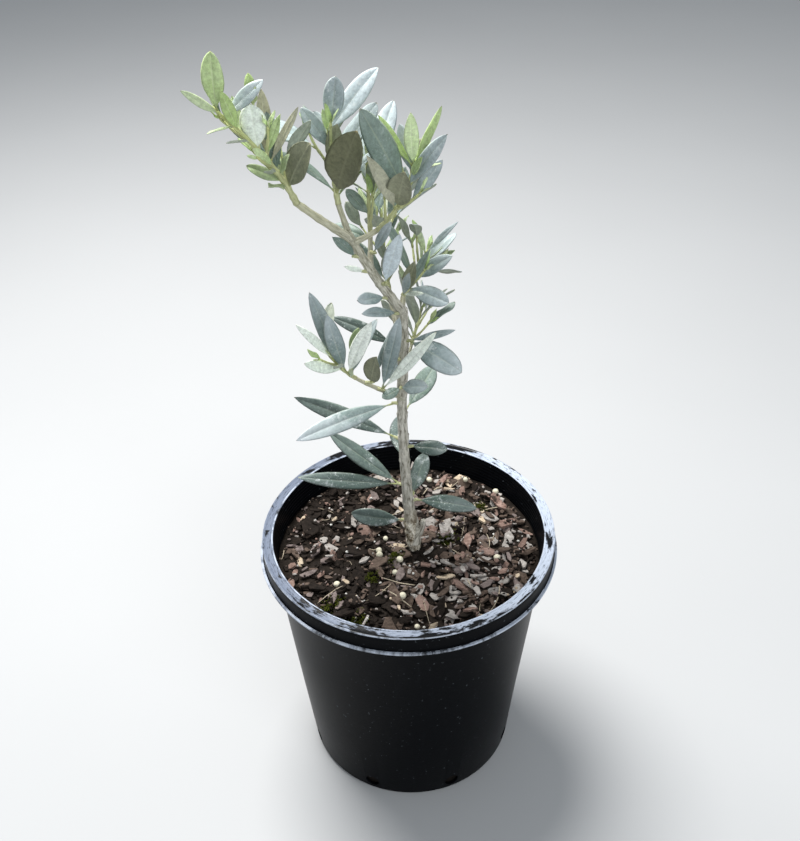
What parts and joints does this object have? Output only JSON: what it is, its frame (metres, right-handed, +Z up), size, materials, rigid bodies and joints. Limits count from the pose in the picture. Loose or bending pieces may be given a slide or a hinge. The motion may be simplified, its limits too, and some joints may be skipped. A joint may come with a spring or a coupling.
{
  "type": "potted olive tree",
  "caption": "Young olive tree with a slender trunk, a short forked crown and narrow grey-green leaves, in a round tapered black nursery pot filled with bark mix.",
  "frame": {"origin": "middle of the pot's flat underside", "axes": "+Z up along the pot; -Y to the front, the side the picture is taken from; +X to the right of the picture"},
  "size_m": [0.201, 0.198, 0.5155],
  "materials": {
    "pot_plastic": "moulded black plastic with a slight gloss, dusty on the lip",
    "potting_mix": "composted bark chips, damp and rough",
    "bark": "young grey-brown bark with fine streaks, greener towards the tips",
    "foliage": "leathery leaves, grey-green above and silvery below"
  },
  "bodies": {
    "root": {"pot": "pot_plastic", "soil": "potting_mix", "trunk": "bark", "old_stub": "bark", "left_bough": "bark", "left_outer_bough": "bark", "upper_bough": "bark", "right_bough": "bark", "inner_bough": "bark", "leader_bough": "bark", "back_bough": "bark", "low_left_bough": "bark", "low_back_bough": "bark", "leaves_foot_left": "foliage", "leaves_foot_right": "foliage", "leaves_foot_back": "foliage", "leaves_low_left": "foliage", "leaves_low_back": "foliage", "leaves_middle_left": "foliage", "leaves_middle_right": "foliage", "leaves_middle_back": "foliage", "leaves_high_left": "foliage", "leaves_high_front": "foliage", "leaves_upper_front": "foliage", "leaves_upper_back": "foliage", "leaves_drooping_right": "foliage", "leaves_neck": "foliage", "leaves_bough_low": "foliage", "leaves_bough_front": "foliage", "leaves_bough_middle": "foliage", "leaves_bough_high": "foliage", "leaves_inner": "foliage", "leaves_twig_low": "foliage", "leaves_twig_high": "foliage", "foliage_left_tip": "foliage", "foliage_upper": "foliage", "foliage_right_top": "foliage", "foliage_inner": "foliage", "foliage_centre": "foliage", "foliage_back": "foliage", "foliage_low_back": "foliage", "foliage_low_left": "foliage"}
  },
  "joints": []
}
